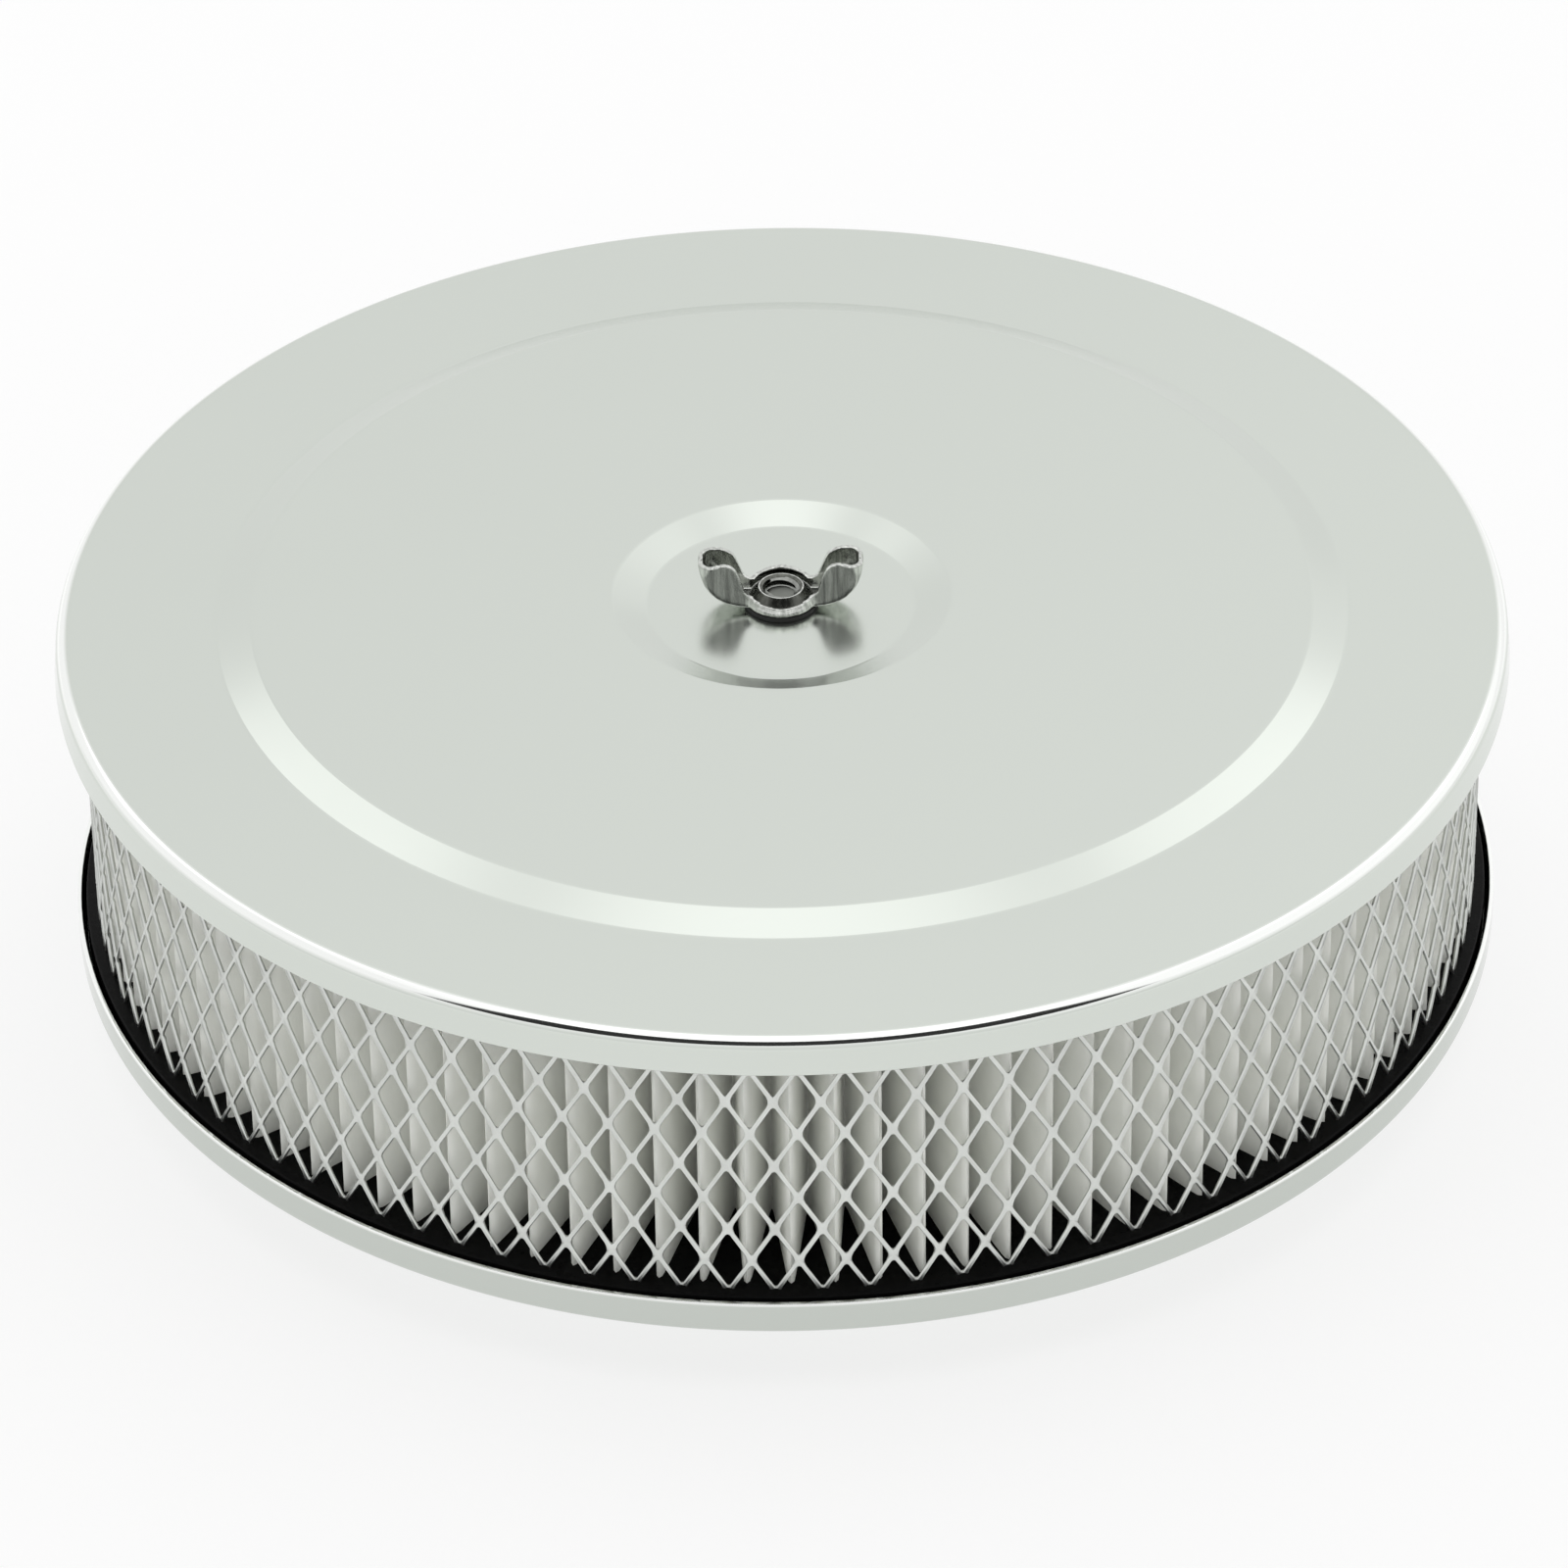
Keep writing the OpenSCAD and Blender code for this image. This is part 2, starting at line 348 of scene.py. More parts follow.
def moulded_black(name, color, sheen, dull, relief):
    """Black rubber or soft plastic, poured or moulded: nearly smooth, with a faint skin."""
    material, nodes, links, shader, place = new_material(name)
    shader.inputs["Base Color"].default_value = (*color, 1)
    shader.inputs["Specular IOR Level"].default_value = 0.4
    skin = grain(nodes, links, place, 350, 4)
    links.new(spread(nodes, links, skin, sheen, dull), shader.inputs["Roughness"])
    emboss(nodes, links, skin, shader, relief)
    return material


def solid_ring(name, inner, outer, low, high, edge):
    """A ring of solid section with rounded edges."""
    middle = (inner + outer) / 2
    ring = section(name, [
        (middle, low),
        (outer, low, edge),
        (outer, high, edge),
        (inner, high, edge),
        (inner, low, edge),
        (middle, low)], steps=5)
    spin_round(ring)
    smooth(ring)
    return ring


gasket = solid_ring("gasket_ring", neck_r + gasket_gap, gasket_high.y, gasket_low.z,
                    gasket_high.z, 0.5 * MM)
rubber = moulded_black("rubber", (0.018, 0.018, 0.018), 0.45, 0.65, 0.02 * MM)
dress(gasket, rubber)
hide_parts("neck_gasket")
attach(gasket, "base")

# ---------------------------------------------------------------------------------------------
# Stud. A zinc-plated steel rod with rolled threads of 20 turns to the inch at both ends. The
# lower end screws into the carburettor's bridge, and the wing nut goes on the upper end.
# ---------------------------------------------------------------------------------------------
PITCH = 25.4 / 20 * MM
stud_low, stud_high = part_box("stud")


def helix(name, root, crest, start, turns):
    """One wall of a thread: a flank pair swept up round the axis, starting at that height."""
    flat = PITCH / 8
    wall = section(name, [
        (root, start),
        (root, start + flat),
        (crest, start + PITCH / 2 - flat / 2),
        (crest, start + PITCH / 2 + flat / 2),
        (root, start + PITCH - flat),
        (root, start + PITCH)])
    bpy.ops.object.mode_set(mode="OBJECT")
    modify(wall, "SCREW", angle=math.tau, screw_offset=PITCH, iterations=turns, steps=48,
           render_steps=48, use_merge_vertices=True, merge_threshold=MERGE)
    return wall


def cut_level(piece, height, above, close=False):
    """Cuts a piece level at that height and removes what is above it, or below it."""
    bpy.context.view_layer.objects.active = piece
    bpy.ops.object.mode_set(mode="EDIT")
    bpy.ops.mesh.select_all(action="SELECT")
    bpy.ops.mesh.bisect(plane_co=(0, 0, height), plane_no=(0, 0, 1), clear_outer=above,
                        clear_inner=not above, use_fill=close)
    bpy.ops.object.mode_set(mode="OBJECT")


def join(name, pieces):
    """Makes one piece of several."""
    deselect()
    for piece in pieces:
        piece.select_set(True)
    bpy.context.view_layer.objects.active = pieces[0]
    bpy.ops.object.join()
    pieces[0].name = name
    return pieces[0]


thread_root = 2.45 * MM
thread_crest = 3.12 * MM
shank_r = 2.75 * MM
core_r = thread_root + 0.02 * MM
end_r = thread_root - 0.2 * MM
lead = 0.7 * MM
runout = 0.3 * MM
lower_top = stud_low.z + 12.7 * MM
upper_start = stud_high.z - 19 * MM
core = section("stud_core", [
    (0, stud_low.z),
    (end_r, stud_low.z),
    (core_r, stud_low.z + lead),
    (core_r, lower_top - runout),
    (shank_r, lower_top),
    (shank_r, upper_start),
    (core_r, upper_start + runout),
    (core_r, stud_high.z - lead),
    (end_r, stud_high.z),
    (0, stud_high.z)])
spin_round(core, 48)
threads = []
for at, (low, high) in enumerate([(stud_low.z, lower_top), (upper_start, stud_high.z)]):
    whole = math.floor(low / PITCH) * PITCH
    wall = helix(f"stud_thread_{at}", thread_root, thread_crest, whole, 17)
    face_round(wall, True)
    cut_level(wall, low + lead / 2, False, close=True)
    cut_level(wall, high - lead / 2, True, close=True)
    threads.append(wall)
stud = join("stud_rod", [core] + threads)
smooth(stud, 40)
# The stud's zinc is painted dark, as painted shade where its end stands in the nut's bore.
dress(stud, plated_steel("stud_zinc_painted_shade", (0.22, 0.23, 0.21), 0.3, 0.44, (1, 1, 0.2)))
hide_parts("stud")
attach(stud, "base")

# ---------------------------------------------------------------------------------------------
# End caps of the filter element. Black soft plastic, poured round both ends of the paper and
# of the screens, which it holds and seals. The lid and the pan press on their flat faces.
# ---------------------------------------------------------------------------------------------
cap_plastic = moulded_black("cap_plastic", (0.005, 0.005, 0.005), 0.22, 0.4, 0.1 * MM)
cap_plastic.node_tree.nodes["Principled BSDF"].inputs["Specular IOR Level"].default_value = 0.05
shrink = 1.2 * MM
cap_middle = 110 * MM
cap_hole = 94.6 * MM
lip_r = 97 * MM
lip_foot_r = 99 * MM
cap_edge = 0.8 * MM
for node, piece_name in [("element_bottom_cap", "bottom_cap"), ("element_top_cap", "top_cap")]:
    low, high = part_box(node)
    outside, inside = (low.z, high.z) if piece_name == "bottom_cap" else (high.z, low.z)
    paper_side = inside + math.copysign(shrink, outside - inside)
    cap = section(piece_name, [
        (cap_middle, outside),
        (high.x, outside, cap_edge),
        (high.x, paper_side, cap_edge / 2),
        (lip_foot_r, paper_side, 1.5 * MM),
        (lip_r, inside, cap_edge),
        (cap_hole, inside, cap_edge),
        (cap_hole, outside, cap_edge),
        (cap_middle, outside)], steps=5)
    spin_round(cap)
    smooth(cap)
    dress(cap, cap_plastic)
    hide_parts(node)
    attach(cap, "element")

# ---------------------------------------------------------------------------------------------
# Outer and inner screens. Galvanised sheet, slit and stretched into diamonds, rolled into a
# sleeve. They hold the pleats apart from inside and outside, with their ends in the caps.
# ---------------------------------------------------------------------------------------------
DIAMOND_H = 13.3 * MM
STRAND = 0.72 * MM
SCREEN_SHEET = 0.5 * MM
paper_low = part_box("element_bottom_cap")[1].z
paper_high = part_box("element_top_cap")[0].z
sunk = 2.6 * MM


def pick(piece, test):
    """Selects the vertices that pass a test, in edit mode."""
    net = bmesh.from_edit_mesh(piece.data)
    for vert in net.verts:
        vert.select_set(test(vert.co))
    net.select_flush_mode()
    bmesh.update_edit_mesh(piece.data)


def expanded_screen(name, radius, around, turn):
    """A sleeve of diamonds. One opening is made, with its half strands, and copied round and up."""
    half = math.pi / around
    wide = radius * math.sin(half)
    high = DIAMOND_H / 2
    node_z = paper_low + 4.7 * MM
    middle = Vector((0, -radius, node_z))
    reach = wide * high / math.hypot(wide, high)
    rows = 6
    deselect()
    bpy.ops.mesh.primitive_circle_add(vertices=4, radius=1, rotation=(math.pi / 2, 0, 0))
    screen = bpy.context.object
    screen.name = name
    screen.scale = (wide, high, 1)
    screen.location = middle
    bpy.ops.object.transform_apply(location=True, rotation=True, scale=True)
    bpy.ops.object.mode_set(mode="EDIT")
    bpy.ops.mesh.select_all(action="SELECT")
    bpy.ops.mesh.duplicate()
    shrunk = 1 - STRAND / 2 / reach
    bpy.ops.transform.resize(value=(shrunk, shrunk, shrunk), center_override=middle)
    # The inner outline's corners are rounded. The outer outline's lie beyond 0.96 of its size.
    pick(screen, lambda co: wide * 0.5 < abs(co.x) < wide * 0.96)
    bpy.ops.mesh.bevel(offset=1.5 * MM, segments=3, profile=0.5, affect="VERTICES")
    pick(screen, lambda co: high * 0.8 < abs(co.z - node_z) < high * 0.96)
    bpy.ops.mesh.bevel(offset=0.7 * MM, segments=2, profile=0.5, affect="VERTICES")
    # The strands over an opening lean out and those under it lean in, as stretching leaves them.
    inside = wide * shrunk + 0.01 * MM
    lean = 0.17 * MM
    pick(screen, lambda co: abs(co.x) < inside
         and node_z + 0.2 * MM < co.z < node_z + high * shrunk)
    bpy.ops.transform.translate(value=(0, -lean, 0))
    pick(screen, lambda co: abs(co.x) < inside
         and node_z - 0.2 * MM > co.z > node_z - high * shrunk)
    bpy.ops.transform.translate(value=(0, lean, 0))
    pick(screen, lambda co: abs(co.x) > inside)
    bpy.ops.transform.translate(value=(0, radius * (1 - math.cos(half)), 0))
    bpy.ops.mesh.select_all(action="SELECT")
    bpy.ops.mesh.bridge_edge_loops()
    bpy.ops.mesh.select_all(action="SELECT")
    bpy.ops.mesh.spin(steps=around, dupli=True, angle=math.tau, center=(0, 0, 0),
                      axis=(0, 0, 1))
    bpy.ops.mesh.select_all(action="SELECT")
    bpy.ops.mesh.remove_doubles(threshold=0.01 * MM)
    bpy.ops.mesh.select_all(action="SELECT")
    bpy.ops.mesh.duplicate()
    bpy.ops.transform.translate(value=(0, 0, high))
    bpy.ops.transform.rotate(value=half, orient_axis="Z", center_override=(0, 0, 0))
    bpy.ops.object.mode_set(mode="OBJECT")
    screen.location.z = -DIAMOND_H
    screen.rotation_euler.z = turn
    bpy.ops.object.transform_apply(location=True, rotation=True, scale=False)
    modify(screen, "ARRAY", count=rows, use_relative_offset=False, use_constant_offset=True,
           constant_offset_displace=(0, 0, DIAMOND_H))
    cut_level(screen, paper_low - sunk, False)
    cut_level(screen, paper_high + sunk, True)
    bpy.ops.object.mode_set(mode="EDIT")
    bpy.ops.mesh.select_all(action="SELECT")
    bpy.ops.mesh.remove_doubles(threshold=0.02 * MM)
    bpy.ops.mesh.normals_make_consistent(inside=False)
    bpy.ops.object.mode_set(mode="OBJECT")
    face_round(screen, True)
    modify(screen, "SOLIDIFY", thickness=SCREEN_SHEET, offset=0)
    modify(screen, "BEVEL", width=0.12 * MM, segments=1, limit_method="ANGLE",
           angle_limit=math.radians(60))
    smooth(screen, 60)
    return screen


strands = plated_steel("galvanised", (0.7, 0.72, 0.69), 0.28, 0.4, (1, 1, 1))
inset = 0.35 * MM
for node, piece_name, around, turn in [("outer_screen", "outer_mesh", 98, math.radians(-1.21)),
                                       ("inner_screen", "inner_mesh", 78, 0)]:
    screen = expanded_screen(piece_name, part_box(node)[1].x - inset, around, turn)
    dress(screen, strands)
    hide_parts(node)
    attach(screen, "element")

# ---------------------------------------------------------------------------------------------
# Pleat pack. Resin-treated filter paper, folded to and fro 103 times and closed into a ring. The
# folds are scored, so they stay round and even.
# ---------------------------------------------------------------------------------------------
PLEATS = 103
PAPER = 0.45 * MM
# Radii of the sharp folds. Rounding draws the outer ones in and the inner ones out by over 2 mm.
fold_r = 123.6 * MM
root_r = 98.8 * MM


def filter_paper(name):
    """Off-white cellulose paper: matte, with fibres and faint clouds."""
    material, nodes, links, shader, place = new_material(name)
    fibres = grain(nodes, links, place, 1500, 6, (1, 1, 0.35))
    clouds = spread(nodes, links, grain(nodes, links, place, 90, 3), 0, 1)
    tone = blend(nodes, links, clouds, (0.9, 0.91, 0.86), (0.95, 0.96, 0.92))
    links.new(tone, shader.inputs["Base Color"])
    shader.inputs["Roughness"].default_value = 0.85
    shader.inputs["Specular IOR Level"].default_value = 0.25
    emboss(nodes, links, fibres, shader, 0.03 * MM)
    return material


half_pleat = math.pi / PLEATS
deselect()
bpy.ops.mesh.primitive_grid_add(x_subdivisions=2, y_subdivisions=9, size=1,
                                rotation=(math.pi / 2, 0, 0))
pleats = bpy.context.object
pleats.name = "paper_pleats"
pleats.scale = (2 * root_r * math.sin(half_pleat), paper_high - paper_low + 2 * sunk, 1)
pleats.location = (0, -root_r * math.cos(half_pleat), (paper_high + paper_low) / 2)
bpy.ops.object.transform_apply(location=True, rotation=True, scale=True)
bpy.ops.object.mode_set(mode="EDIT")
pick(pleats, lambda co: abs(co.x) < 0.01 * MM)
bpy.ops.transform.translate(value=(0, root_r * math.cos(half_pleat) - fold_r, 0))
bpy.ops.mesh.select_all(action="SELECT")
bpy.ops.mesh.spin(steps=PLEATS, dupli=True, angle=math.tau, center=(0, 0, 0), axis=(0, 0, 1))
bpy.ops.mesh.select_all(action="SELECT")
bpy.ops.mesh.remove_doubles(threshold=0.01 * MM)
bpy.ops.mesh.normals_make_consistent(inside=False)
bpy.ops.mesh.select_mode(type="EDGE")
inner_round = 1.2 * MM
outer_round = 1 * MM
for inner_fold, width in [(True, inner_round), (False, outer_round)]:
    net = bmesh.from_edit_mesh(pleats.data)
    for edge in net.edges:
        upright = abs(edge.verts[0].co.z - edge.verts[1].co.z) > 1 * MM
        at_root = edge.verts[0].co.xy.length < (root_r + fold_r) / 2
        sharp = edge.calc_face_angle(0) > math.radians(90)
        edge.select_set(upright and sharp and at_root == inner_fold)
    bmesh.update_edit_mesh(pleats.data)
    bpy.ops.mesh.bevel(offset=width, offset_type="WIDTH", segments=4, profile=0.5,
                       affect="EDGES")
bpy.ops.object.mode_set(mode="OBJECT")
modify(pleats, "SOLIDIFY", thickness=PAPER, offset=0)
smooth(pleats, 60)
dress(pleats, filter_paper("filter_paper"))
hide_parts("pleat_pack")
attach(pleats, "element")

# ---------------------------------------------------------------------------------------------
# Pleat seam clip. A tinned steel strip, folded to a channel and crimped over the inner fold
# where the paper's two ends meet, at the back of the ring.
# ---------------------------------------------------------------------------------------------
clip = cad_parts["pleat_seam_clip"]
dress(clip, plated_steel("tinned_strip", (0.6, 0.6, 0.58), 0.3, 0.45, (1, 1, 0.1)))

# ---------------------------------------------------------------------------------------------
# Lid. A round steel pressing, drawn from 0.8 mm sheet and chrome plated. A low crown stands
# inside its flat outer band, with a recess for the wing nut, and its edge is turned down.
# ---------------------------------------------------------------------------------------------
lid_low, lid_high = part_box("lid")
crown = 2.1 * MM
band_z = lid_high.z - crown
lid_r = 127 * MM
flare = 0.4 * MM
stud_hole = 3.6 * MM
recess_r = 23.7 * MM
recess_slope = 5.9 * MM
crown_r = 92.85 * MM
crown_slope = 6.1 * MM
lid = section("lid_shell", [
    (stud_hole, band_z),
    (recess_r, band_z, 1.5 * MM),
    (recess_r + recess_slope, lid_high.z, 1.5 * MM),
    (crown_r, lid_high.z, 1.6 * MM),
    (crown_r + crown_slope, band_z, 1.6 * MM),
    (lid_r, band_z, 2.4 * MM),
    (lid_r, band_z - 2.6 * MM),
    (lid_r + flare, lid_low.z)])
spin_round(lid)
face_up(lid, True)
press(lid, SHEET, 0.2 * MM)
# The outer edge of the band and the top of its turned-down corner are painted near white, a painted
# highlight.
dress(lid, chrome_plate("lid_chrome", (0.66, 0.695, 0.65), 0.19, 0.23, lid_r - 1.5 * MM,
                        band_z - 1.1 * MM))
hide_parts("lid")
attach(lid, "lid")

# ---------------------------------------------------------------------------------------------
# Sealing washer. Die-cut rubber, pinched between the wing nut and the lid so that no dust or
# water gets in round the stud.
# ---------------------------------------------------------------------------------------------
washer_low, washer_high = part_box("seal_washer")
washer = solid_ring("rubber_washer", stud_hole, washer_high.x, washer_low.z, washer_high.z,
                    0.2 * MM)
dress(washer, rubber)
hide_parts("seal_washer")
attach(washer, "washer")

# ---------------------------------------------------------------------------------------------
# Wing nut. Pressed from one 0.9 mm sheet: a cup with two hollow wings open at the top, and a
# threaded boss drawn up through the cup's floor. Chrome plated over the press's drawing marks.
# ---------------------------------------------------------------------------------------------
nut_low, nut_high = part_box("wing_nut")
base_z = nut_low.z
wing_h = nut_high.z - nut_low.z
span = nut_high.x
bore_r = 3.225 * MM
NUT_SHEET = 0.9 * MM
wing_half = 3 * MM
wing_round = 8.3 * MM
cup_foot_r = 6.8 * MM
cup_r = 5.95 * MM
floor_hole_r = 4.2 * MM
nut_crest_r = 2.66 * MM
past = 8 * MM
overlap = 0.05 * MM


def block(name, half, low_y, high_y):
    """Fills an outline, given as its right half in the XZ plane, and extrudes it along Y."""
    left = [(-corner[0], *corner[1:]) for corner in reversed(half[:-1])]
    piece = section(name, half + left, steps=10)
    bpy.ops.mesh.select_all(action="SELECT")
    bpy.ops.mesh.remove_doubles(threshold=0.01 * MM)
    bpy.ops.mesh.select_all(action="SELECT")
    bpy.ops.mesh.edge_face_add()
    bpy.ops.transform.translate(value=(0, low_y, 0))
    move = {"value": (0, high_y - low_y, 0)}
    bpy.ops.mesh.extrude_region_move(TRANSFORM_OT_translate=move)
    bpy.ops.mesh.select_all(action="SELECT")
    bpy.ops.mesh.normals_make_consistent(inside=False)
    bpy.ops.object.mode_set(mode="OBJECT")
    return piece


def carve(piece, tool, operation):
    """Unites or intersects a piece with a tool, or cuts the tool out, and discards the tool."""
    modify(piece, "BOOLEAN", operation=operation, object=tool, solver="EXACT")
    bpy.data.objects.remove(tool)


def lay_down(piece):
    """Lays a block on its side on the nut's base, so that its outline becomes the plan."""
    deselect()
    piece.select_set(True)
    bpy.context.view_layer.objects.active = piece
    piece.rotation_euler.x = math.pi / 2
    piece.location.z = base_z
    bpy.ops.object.transform_apply(location=True, rotation=True, scale=False)


def nut_form(name, wall):
    """The nut's outer form, or the hollow inside its sheet where wall is the sheet's thickness."""
    end = span - wall
    foot = base_z + wall
    open_top = base_z + 2 * wing_h
    form = block(name, [(0, foot), (end, foot, wing_round - wall), (end, open_top), (0, open_top)],
                 -past, past)
    far = span + 0.1 * MM - wall
    wing_y = wing_half - wall
    plan = block(name + "_plan", [(0, wing_y), (far, wing_y, 2.9 * MM - wall),
                                  (far, -wing_y, 1.6 * MM - wall / 2), (0, -wing_y)],
                 0, 3 * wing_h)
    lay_down(plan)
    cup = section(name + "_cup", [
        (0, foot - 0.1 * MM),
        (cup_foot_r - wall, foot - 0.1 * MM, 0.5 * MM),
        (cup_r - wall, foot + 1.7 * MM, 1.2 * MM),
        (cup_r - wall, 2 * open_top),
        (0, 2 * open_top)])
    spin_round(cup, 96)
    carve(plan, cup, "UNION")
    carve(form, plan, "INTERSECT")
    return form


form = nut_form("nut_form", 0)
modify(form, "REMESH", mode="VOXEL", voxel_size=0.2 * MM)
modify(form, "SMOOTH", factor=0.5, iterations=36)
carve(form, nut_form("nut_hollow", NUT_SHEET), "DIFFERENCE")
deselect()
bpy.ops.mesh.primitive_cylinder_add(vertices=96, radius=floor_hole_r, depth=past,
                                    location=(0, 0, base_z))
carve(form, bpy.context.object, "DIFFERENCE")
front_rim = [(0, base_z - 1 * MM), (span, base_z - 1 * MM),
             (span, base_z + 8.3 * MM, 0.9 * MM), (12.7 * MM, base_z + 8.1 * MM, 4 * MM),
             (11 * MM, base_z + 8.75 * MM, 4 * MM), (8.3 * MM, base_z + 8.8 * MM, 2 * MM),
             (5.9 * MM, base_z + 2 * MM, 2.4 * MM), (0, base_z + 1.6 * MM)]
back_rim = [(0, base_z - 1 * MM), (span, base_z - 1 * MM),
            (span, base_z + 8.1 * MM, 1.2 * MM), (13 * MM, base_z + 9.05 * MM, 2.4 * MM),
            (10.3 * MM, base_z + 9.15 * MM, 2.6 * MM), (8.2 * MM, base_z + 7.9 * MM, 2.4 * MM),
            (6.2 * MM, base_z + 2.7 * MM, 1.6 * MM), (0, base_z + 3.3 * MM)]
halves = []
for rim, low_y, high_y in [(front_rim, -past, overlap), (back_rim, -overlap, past)]:
    deselect()
    form.select_set(True)
    bpy.context.view_layer.objects.active = form
    bpy.ops.object.duplicate()
    half = bpy.context.object
    carve(half, block("nut_rim", rim, low_y, high_y), "INTERSECT")
    halves.append(half)
bpy.data.objects.remove(form)
nut = join("nut_body", halves)
modify(nut, "REMESH", mode="VOXEL", voxel_size=0.15 * MM)
modify(nut, "SMOOTH", factor=0.5, iterations=3)
bore_low = base_z + 0.4 * MM
bore_high = base_z + 2.4 * MM
boss_top = base_z + 2.7 * MM
boss_foot = base_z + 0.06 * MM
boss = section("nut_boss", [
    (floor_hole_r, boss_foot),
    (5 * MM, boss_foot),
    (5.7 * MM, base_z + 0.8 * MM),
    (4.9 * MM, base_z + 1.5 * MM, 1 * MM),
    (4 * MM, boss_top, 0.15 * MM),
    (3.75 * MM, boss_top, 0.1 * MM),
    (bore_r, bore_high),
    (bore_r, bore_low),
    (3.6 * MM, boss_foot),
    (floor_hole_r, boss_foot)])
spin_round(boss, 96)
# Half a pitch below the stud's walls, so that the nut's crests lie in the stud's grooves.
whole = math.floor(base_z / PITCH) * PITCH - PITCH / 2
nut_thread = helix("nut_thread", bore_r + 0.02 * MM, nut_crest_r, whole, 5)
face_round(nut_thread, False)
for height, above in [(bore_low, False), (bore_high - 0.05 * MM, True)]:
    cut_level(nut_thread, height, above)
    bpy.ops.object.mode_set(mode="EDIT")
    pick(nut_thread, lambda co: abs(co.z - height) < 0.001 * MM)
    bpy.ops.mesh.extrude_region_move()
    bpy.ops.transform.resize(value=(1.25, 1.25, 1), center_override=(0, 0, height))
    bpy.ops.object.mode_set(mode="OBJECT")


def drawn_chrome(name, color, shade, polish, haze):
    """Chrome over a deep pressing: fine upright drawing marks under the plating."""
    material, nodes, links, shader, place = new_material(name)
    shader.inputs["Metallic"].default_value = 1.0
    marks = grain(nodes, links, place, 1500, 4, (1, 1, 0.08))
    tone = blend(nodes, links, spread(nodes, links, marks, 0, 1), darker(color, shade), color)
    links.new(tone, shader.inputs["Base Color"])
    links.new(spread(nodes, links, marks, polish, haze), shader.inputs["Roughness"])
    emboss(nodes, links, marks, shader, 0.01 * MM)
    return material


bright = drawn_chrome("nut_chrome", (0.8, 0.82, 0.78), 0.5, 0.1, 0.2)
# The boss and the threads are the nut's own chrome painted darker, as painted shade in the cup and
# the bore.
painted_shade_chrome = drawn_chrome("nut_inside", (0.14, 0.145, 0.13), 0.6, 0.2, 0.3)
dress(nut, bright)
dress(boss, painted_shade_chrome)
dress(nut_thread, drawn_chrome("nut_threads", (0.34, 0.35, 0.33), 0.7, 0.12, 0.2))
# The boss's flat top ring keeps the bright chrome, so only its hollow is painted shade.
boss.data.materials.append(bright)
for face in boss.data.polygons:
    if face.normal.z > 0.95 and face.center.z > boss_top - 0.2 * MM:
        face.material_index = 1
nut = join("wing_nut_shell", [nut, boss, nut_thread])
smooth(nut, 40)
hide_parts("wing_nut")
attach(nut, "wing_nut")

# ---------------------------------------------------------------------------------------------
# Studio: a pale floor, soft white light from all round and from above, and the room's dark
# ceiling edge behind the camera.
# ---------------------------------------------------------------------------------------------
deselect()
bpy.ops.mesh.primitive_plane_add(size=8, location=(0, 0, 0))
floor = bpy.context.object
floor.name = "floor"
floor_paint, _, _, floor_shader, _ = new_material("floor_paint")
floor_shader.inputs["Base Color"].default_value = (0.24, 0.24, 0.24, 1)
floor_shader.inputs["Roughness"].default_value = 0.9
floor_shader.inputs["Emission Color"].default_value = (1, 1, 1, 1)
floor_shader.inputs["Emission Strength"].default_value = 0.75
dress(floor, floor_paint)
floor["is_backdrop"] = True

world = bpy.data.worlds.new("studio")
bpy.context.scene.world = world
world.use_nodes = True
sky = world.node_tree.nodes
wires = world.node_tree.links
direction = sky.new("ShaderNodeTexCoord").outputs["Generated"]
parts = sky.new("ShaderNodeSeparateXYZ")
wires.new(direction, parts.inputs["Vector"])


def step_up(value, low, high, bottom=0.0, top=1.0):
    """Rises smoothly from bottom to top as the value goes from low to high."""
    node = sky.new("ShaderNodeMapRange")
    node.interpolation_type = "SMOOTHSTEP"
    node.inputs["From Min"].default_value = low
    node.inputs["From Max"].default_value = high
    node.inputs["To Min"].default_value = bottom
    node.inputs["To Max"].default_value = top
    wires.new(value, node.inputs["Value"])
    return node.outputs["Result"]


def combine(operation, a, b):
    """Does a maths operation on two values, each a number or another node's output."""
    node = sky.new("ShaderNodeMath")
    node.operation = operation
    for socket, value in zip(node.inputs, (a, b)):
        if isinstance(value, (int, float)):
            socket.default_value = value
        else:
            wires.new(value, socket)
    return node.outputs["Value"]


def rise(degrees):
    """The height of a direction that points that far above the horizon."""
    return math.sin(math.radians(degrees))


up = parts.outputs["Z"]
sideways = combine("ABSOLUTE", parts.outputs["X"], 0)
# The wall behind is a little darker on the upper left, along a soft slanting edge.
slant = combine("ADD", parts.outputs["X"], combine("MULTIPLY", up, 2.08))
shaded_wall = 0.92
wall = step_up(slant, 1.139, 1.199, shaded_wall, 1.0)
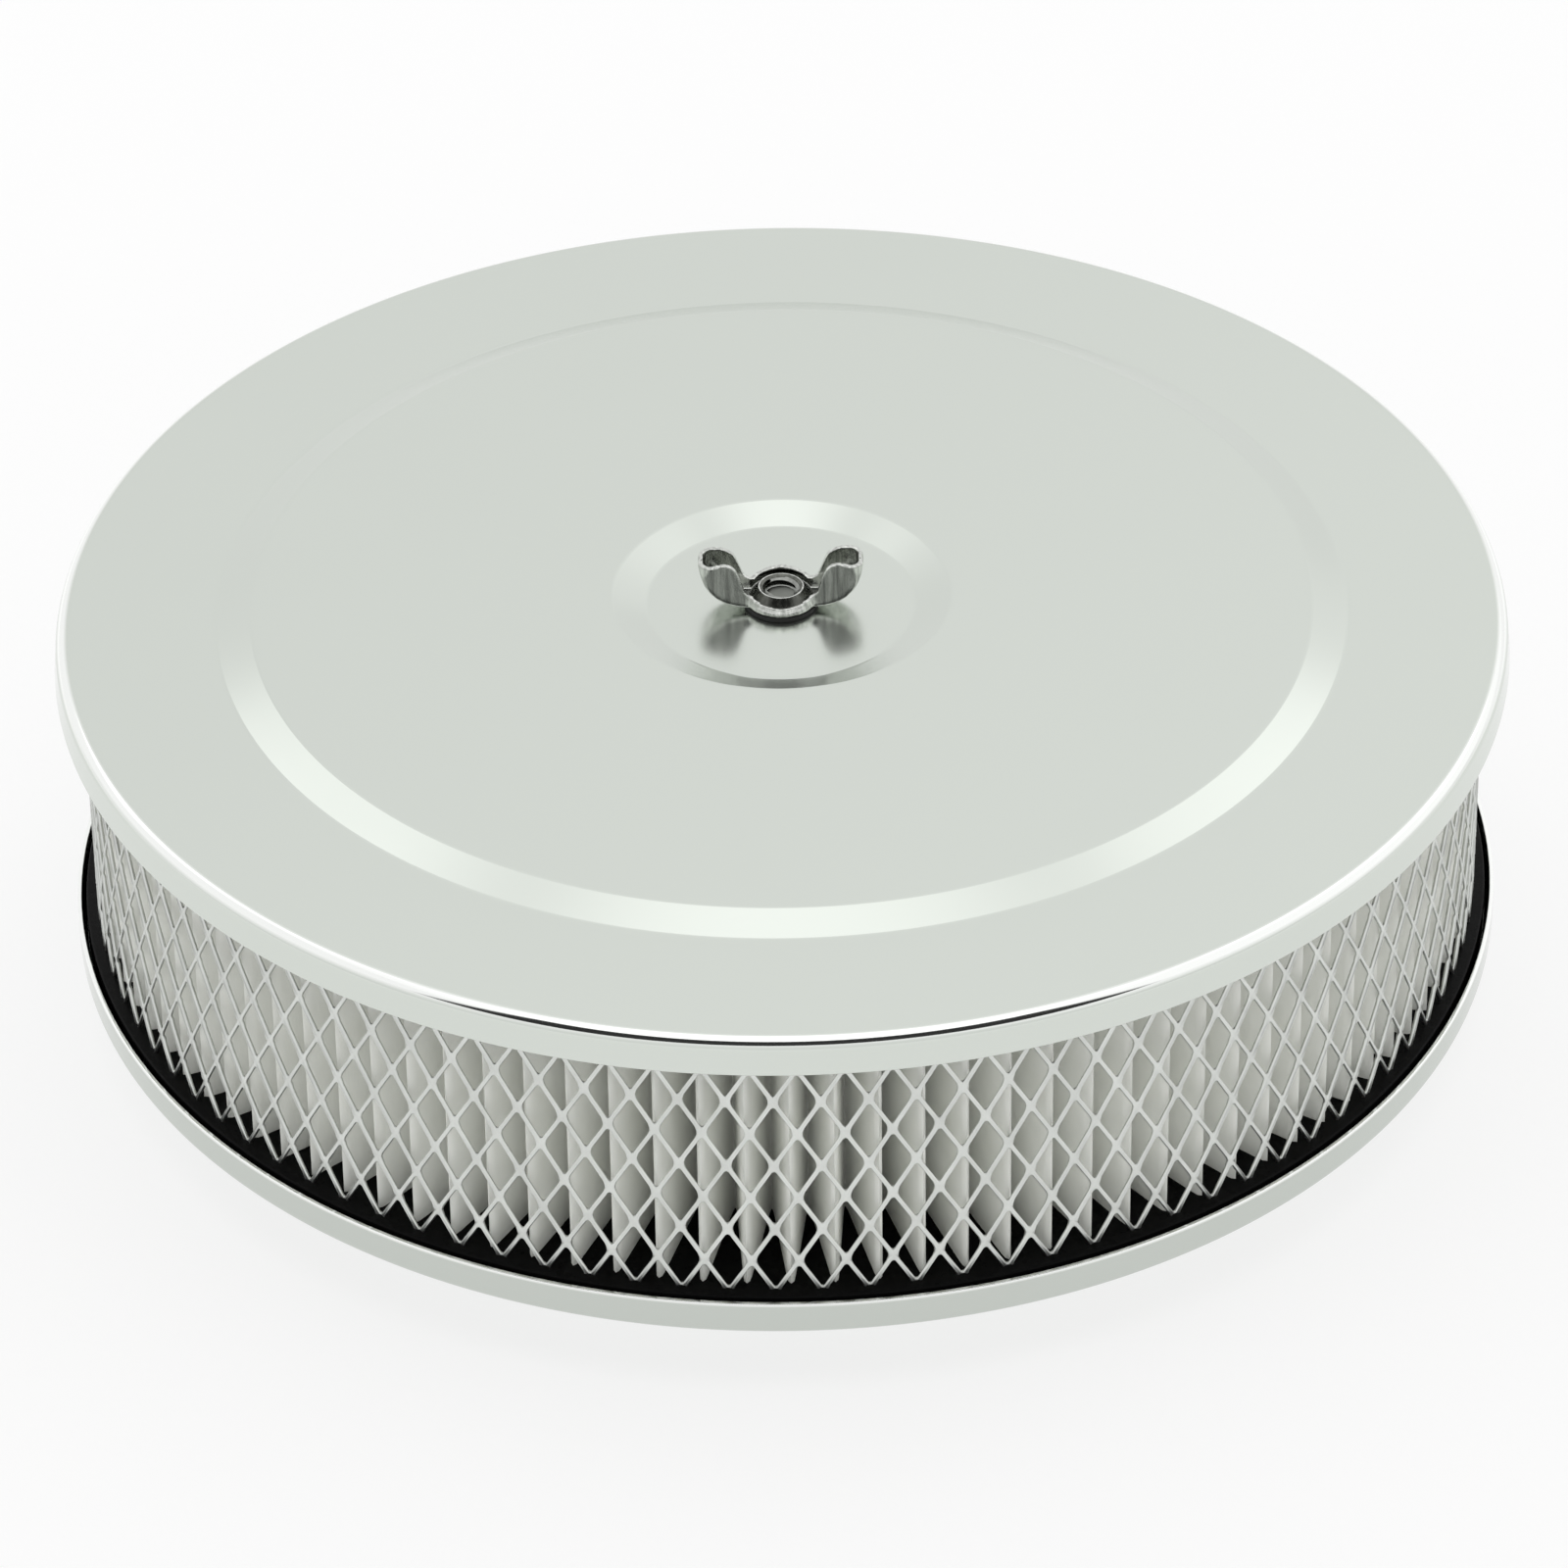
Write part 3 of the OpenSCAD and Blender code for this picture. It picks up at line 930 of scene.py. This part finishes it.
# Two upright soft boxes stand behind at the left and right, and one lies overhead.
behind = combine("DIVIDE", sideways, combine("MAXIMUM", parts.outputs["Y"], 0.001))
box_edge = combine("SUBTRACT", behind, combine("MULTIPLY", up, 0.6))
box_light = 0.6
box_inner = step_up(box_edge, 0.25, 0.32, 0.0, box_light)
box_outer = step_up(behind, 1.1, 1.5, 1.0, 0.0)
box_top = step_up(up, 0.85, 0.905, 1.0, 0.0)
box_foot = step_up(up, 0.5, 0.56)
boxes = combine("MULTIPLY", combine("MULTIPLY", box_inner, box_outer),
                combine("MULTIPLY", box_top, box_foot))
overhead_light = 0.42
overhead = step_up(up, 0.89, 0.965, 0.0, overhead_light)
glow = combine("ADD", wall, combine("MAXIMUM", boxes, overhead))
# The dark upper edge of the room is behind the camera.
edge_low = step_up(up, rise(31), rise(33))
edge_high = step_up(up, rise(62), rise(65), 1.0, 0.0)
ahead = combine("DIVIDE", sideways, combine("MULTIPLY", parts.outputs["Y"], -1))
in_front = step_up(parts.outputs["Y"], -0.05, 0, 1.0, 0.0)
dark = combine("MULTIPLY", combine("MULTIPLY", edge_low, edge_high),
               combine("MULTIPLY", in_front, step_up(ahead, 1.4, 1.8, 1.0, 0.0)))
light = combine("MULTIPLY", glow, combine("SUBTRACT", 1.0, combine("MULTIPLY", dark, 0.97)))
wires.new(light, sky["Background"].inputs["Strength"])
sky["Background"].inputs["Color"].default_value = (1, 1, 1, 1)

scene = bpy.context.scene
scene.view_settings.view_transform = "Standard"

# ---------------------------------------------------------------------------------------------
# Camera: a long lens, looking down on the front of the housing, and tipped a little.
# ---------------------------------------------------------------------------------------------
looking_down = math.radians(35.49)
distance = 1417.4 * MM
target = Vector((0, 0, band_z - 39.1 * MM))
back = Vector((0, -math.cos(looking_down), math.sin(looking_down)))
tip = math.radians(-0.85)
lens = bpy.data.cameras.new("camera")
lens.lens = 182.9
lens.sensor_width = 36
lens.clip_end = 20
camera = bpy.data.objects.new("camera", lens)
scene.collection.objects.link(camera)
camera.rotation_mode = "QUATERNION"
camera.location = target + back * distance
camera.rotation_quaternion = (-back).to_track_quat("-Z", "Y") @ Quaternion((0, 0, 1), tip)
scene.camera = camera

low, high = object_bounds()
